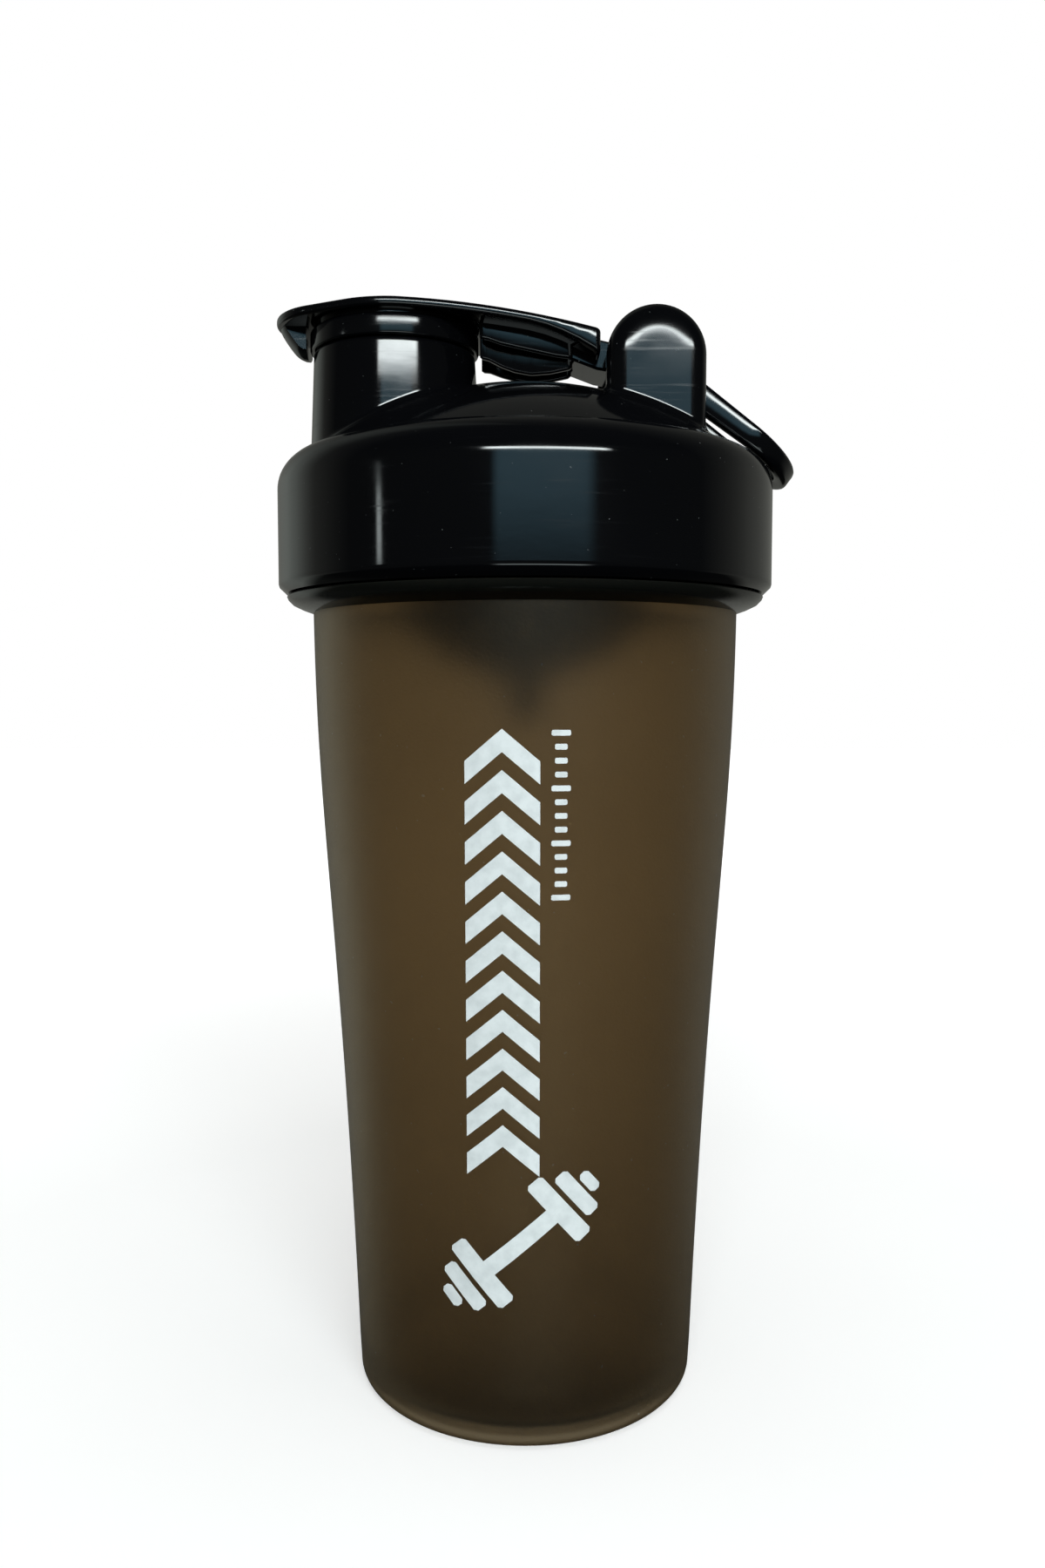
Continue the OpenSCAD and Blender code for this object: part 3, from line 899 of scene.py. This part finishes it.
def rod(radius, half_length, edge, steps=64):
    """A round bar along the hinge axis with softened ends."""
    stations = [(radius - edge, -half_length), (radius, -half_length + edge)]
    stations += [(radius, half_length - edge), (radius - edge, half_length)]
    rings = []
    for r, y in stations:
        rings.append([(HINGE_X + r * math.cos(a), y, HINGE_Z + r * math.sin(a))
                      for a in [2 * math.pi * i / steps for i in range(steps)]])
    return lofted(rings)


def cap_neck():
    """The neck from the arm's ribs to the knuckle."""
    edge = 0.5 * MM
    rings = []
    for y, inset in ((-NECK_Y, edge), (-NECK_Y + edge, 0), (NECK_Y - edge, 0), (NECK_Y, edge)):
        low = [(8.4, 204.7), (14, 202.6), (24.7, 200.8)]
        section = [(x * MM, z * MM + inset) for x, z in low]
        section += [(HINGE_X, HINGE_Z + KNUCKLE_R - inset)]
        section += [(x * MM, cap_top(x * MM) - 0.5 * MM - inset) for x in (18, 16, 14, 12, 8.4)]
        rings.append([(x, y, z) for x, z in section])
    return lofted(rings)


def build_cap():
    parts = [closed_plate(), cap_boss(), cap_stud(), thumb_tab(), cap_neck()]
    parts += [cap_rib(side, *rib) for side in (1, -1) for rib in (OUTER_RIB, INNER_RIB)]
    parts += [rod(KNUCKLE_R, KNUCKLE_Y, 0.4 * MM), rod(PIN_R, SOCKET_END - 0.4 * MM, 0.4 * MM)]
    piece("cap_moulding", merged(*parts), "cap", [GLOSS], ["flip_cap"])


def build_plug():
    """The soft plug: a flange that shows as a ring, and a tapered bung with two sealing beads."""
    low, seat = plug_low.z, SPOUT_Z + 0.12 * MM
    web = RING_Z - PLUG_WEB
    profile = [(SOCKET_R, web), (10.5 * MM, web), (10.5 * MM, low), (12.4 * MM, low)]
    profile += [(12.9 * MM, low + 0.6 * MM), (12.95 * MM, low + 1.2 * MM), (13.2 * MM, low + 1.5 * MM)]
    profile += [(13 * MM, low + 1.9 * MM), (13.1 * MM, low + 2.6 * MM), (13.35 * MM, low + 2.9 * MM)]
    profile += [(13.2 * MM, low + 3.4 * MM), (13.4 * MM, seat), (PLUG_R - 0.5 * MM, seat)]
    profile += arc(PLUG_R - 0.5 * MM, seat + 0.5 * MM, 0.5 * MM, -90, 0, 5)[1:]
    profile += arc(PLUG_R - 0.7 * MM, RING_Z - 0.7 * MM, 0.7 * MM, 0, 90, 6) + [(SOCKET_R, RING_Z)]
    piece("plug_seal", turned(profile, SPOUT_X, 160), "cap", [GLOSS], ["spout_plug"])


# Carry loop

def loop_shape():
    """A tapering rounded strap round the bow, and an eye at each end for the trunnions."""
    half_width = STRAP_W / 2
    middle = LOOP_W - half_width
    bow_u = LOOP_REACH - LOOP_W
    path = [(EYE_R * 0.72, middle), (EYE_R, middle)]
    path += [(EYE_R + (bow_u - EYE_R) * k / 8, middle) for k in range(1, 8)]
    turns = [math.pi * k / 48 for k in range(49)]
    path += [(bow_u + middle * math.sin(a), middle * math.cos(a)) for a in turns]
    path += [(u, -y) for u, y in reversed(path[:9])]
    rings = []
    for i, (u, y) in enumerate(path):
        before, after = path[max(i - 1, 0)], path[min(i + 1, len(path) - 1)]
        ahead = Vector((after[0] - before[0], after[1] - before[1])).normalized()
        across = Vector((ahead.y, -ahead.x))
        thick = STRAP_T0 + (STRAP_T1 - STRAP_T0) * u / LOOP_REACH
        corner = 0.8 * MM
        section = []
        for sx, sz, start in ((1, 1, 0), (-1, 1, 90), (-1, -1, 180), (1, -1, 270)):
            for a in (0, 30, 60, 90):
                angle = math.radians(start + a)
                section.append((sx * (half_width - corner) + corner * math.cos(angle),
                                sz * (thick / 2 - corner) + corner * math.sin(angle)))
        rings.append([(u + across.x * w, y + across.y * w, t) for w, t in section])
    parts = [lofted(rings)]
    edge = 0.5 * MM
    for side in (1, -1):
        inner = LOOP_W - STRAP_W
        stations = [(SOCKET_R, inner), (EYE_R - edge, inner), (EYE_R, inner + edge)]
        stations += [(EYE_R, LOOP_W - edge), (EYE_R - edge, LOOP_W), (SOCKET_R, LOOP_W)]
        eye = turned([(r, y) for r, y in stations], steps=64)
        bmesh.ops.rotate(eye, verts=eye.verts, matrix=Matrix.Rotation(-math.pi / 2 * side, 3, "X"))
        parts.append(eye)
    bm = merged(*parts)
    bmesh.ops.rotate(bm, verts=bm.verts, matrix=Matrix.Rotation(LOOP_SLOPE, 3, "Y"))
    bmesh.ops.translate(bm, verts=bm.verts, vec=(HINGE_X, 0, HINGE_Z))
    return bm


def build_loop():
    piece("loop_moulding", loop_shape(), "loop", [GLOSS], ["carry_loop"])


def finish_frame_parts():
    """The strainer and the gasket keep their CAD shapes and take procedural finishes."""
    for name, material in (("mixing_strainer", SATIN), ("lid_gasket", RUBBER)):
        node = frame["nodes"][name]
        node.data.materials.clear()
        node.data.materials.append(material)


# Stage

def aim(obj, target):
    """Turns a light so that it faces the target."""
    obj.rotation_euler = (Vector(target) - obj.location).to_track_quat("-Z", "Y").to_euler()


def softbox(name, azimuth, elevation, distance, width, height, power, colour):
    """A soft light; azimuth 0 is behind the camera and positive turns towards +X."""
    light = bpy.data.lights.new(name, "AREA")
    light.shape = "RECTANGLE"
    light.size, light.size_y = width, height
    light.energy = power
    light.color = colour
    obj = bpy.data.objects.new(name, light)
    bpy.context.scene.collection.objects.link(obj)
    middle = Vector((0, 0, 0.17))
    a, e = math.radians(azimuth), math.radians(elevation)
    toward = Vector((math.sin(a) * math.cos(e), -math.cos(a) * math.cos(e), math.sin(e)))
    obj.location = middle + distance * toward
    aim(obj, middle)
    return obj


def build_lights():
    """Soft light from above and from the camera's side that leaves no highlight on the bottle."""
    overhead = softbox("overhead", 20, 80, 1.2, 1.2, 1.2, 7, (1.0, 0.99, 0.97))
    front = softbox("front_fill", 6, 20, 1.3, 0.9, 0.9, 8, (0.95, 0.99, 1.0))
    for light in (overhead, front):
        light.visible_glossy = False
        light.visible_transmission = False


def band(tree, value, start, full, hold, end):
    """1 between full and hold, falling to 0 at start and end."""
    return times(tree, ramp(tree, value, start, full), ramp(tree, value, hold, end, 1, 0))


def coloured(tree, factor, colour):
    """A colour scaled by a factor."""
    node = tree.nodes.new("ShaderNodeVectorMath")
    node.operation = "SCALE"
    node.inputs["Vector"].default_value = colour
    tree.links.new(factor, node.inputs["Scale"])
    return node.outputs["Vector"]


def summed(tree, colours):
    """Sum of several colours."""
    total = colours[0]
    for colour in colours[1:]:
        node = tree.nodes.new("ShaderNodeVectorMath")
        node.operation = "ADD"
        tree.links.new(total, node.inputs[0])
        tree.links.new(colour, node.inputs[1])
        total = node.outputs["Vector"]
    return total


def build_world():
    """White to the camera; to everything else a dim room with one window behind the camera."""
    world = bpy.data.worlds.new("studio")
    bpy.context.scene.world = world
    world.use_nodes = True
    tree = world.node_tree
    tree.nodes.clear()
    place = tree.nodes.new("ShaderNodeTexCoord")
    split = tree.nodes.new("ShaderNodeSeparateXYZ")
    tree.links.new(place.outputs["Generated"], split.inputs["Vector"])
    x, y, z = (split.outputs[axis] for axis in "XYZ")
    toward_camera = ramp(tree, y, -1, 1, 1, -1)
    angle = tree.nodes.new("ShaderNodeMath")
    angle.operation = "ARCTAN2"
    tree.links.new(x, angle.inputs[0])
    tree.links.new(toward_camera, angle.inputs[1])
    azimuth = angle.outputs["Value"]
    level = times(tree, ramp(tree, z, -0.48, -0.36, 0.08, 1), ramp(tree, z, 0.2, 0.6, 1, 0.35))
    back = times(tree, ramp(tree, y, -0.1, 0.5, 0.12, 1), level)
    left = times(tree, band(tree, azimuth, -2.7, -2.4, -2.2, -1.9), level)
    window = band(tree, azimuth, -0.26, -0.2, 0.46, 0.55)
    pane = times(tree, window, band(tree, z, 0.085, 0.165, 0.3, 0.34))
    wide = band(tree, azimuth, -0.34, -0.28, 0.6, 0.68)
    glare = times(tree, wide, band(tree, z, 0.295, 0.325, 0.35, 0.39))
    narrow = band(tree, azimuth, -1.2, -1.18, -1.16, -1.14)
    strip = times(tree, narrow, band(tree, z, 0.09, 0.11, 0.15, 0.17))
    parts = [coloured(tree, back, (0.21, 0.215, 0.195)), coloured(tree, left, (0.2, 0.23, 0.215))]
    parts += [coloured(tree, pane, (0.42, 0.82, 1.05)), coloured(tree, glare, (24, 26, 26))]
    sill = times(tree, window, band(tree, z, -0.6, -0.5, -0.35, -0.25))
    parts += [coloured(tree, strip, (4.5, 5, 5)), coloured(tree, sill, (2.2, 2.5, 2.5))]
    white = tree.nodes.new("ShaderNodeBackground")
    white.inputs["Color"].default_value = (1, 1, 1, 1)
    room = tree.nodes.new("ShaderNodeBackground")
    tree.links.new(summed(tree, parts), room.inputs["Color"])
    seen = tree.nodes.new("ShaderNodeLightPath")
    choice = tree.nodes.new("ShaderNodeMixShader")
    output = tree.nodes.new("ShaderNodeOutputWorld")
    tree.links.new(seen.outputs["Is Camera Ray"], choice.inputs["Fac"])
    tree.links.new(room.outputs["Background"], choice.inputs[1])
    tree.links.new(white.outputs["Background"], choice.inputs[2])
    tree.links.new(choice.outputs["Shader"], output.inputs["Surface"])


def build_floor():
    bm = bmesh.new()
    bmesh.ops.create_grid(bm, x_segments=8, y_segments=8, size=3)
    floor = linked("floor", bm)
    material, tree, shader, place = node_material("pale_floor", (0.9, 0.9, 0.9), 0.9)
    cloud = mixed(tree, noise(tree, place, 6, 2), (0.9, 0.9, 0.9), (0.93, 0.93, 0.93))
    tree.links.new(cloud, shader.inputs["Base Color"])
    shader.inputs["Emission Color"].default_value = (1, 1, 1, 1)
    reach = tree.nodes.new("ShaderNodeVectorMath")
    reach.operation = "LENGTH"
    tree.links.new(place, reach.inputs[0])
    glow = ramp(tree, reach.outputs["Value"], 0.15, 0.9, 0.42, 1)
    tree.links.new(glow, shader.inputs["Emission Strength"])
    floor.data.materials.append(material)
    floor.visible_diffuse = False
    floor.visible_glossy = False
    floor.visible_transmission = False


def build_camera():
    """Eye level with the upper cup, close in, looking slightly down."""
    data = bpy.data.cameras.new("camera")
    data.lens = CAMERA_LENS
    data.sensor_width = 36
    data.clip_start = 0.01
    camera = bpy.data.objects.new("camera", data)
    bpy.context.scene.collection.objects.link(camera)
    camera.location = CAMERA_PLACE
    camera.rotation_euler = (math.pi / 2 - CAMERA_DOWN, 0, 0)
    bpy.context.scene.camera = camera


bpy.context.scene.view_settings.view_transform = "Standard"
build_camera()
build_world()
build_lights()
build_floor()
build_cup()
build_print()
build_lid()
build_cap()
build_plug()
build_loop()
finish_frame_parts()
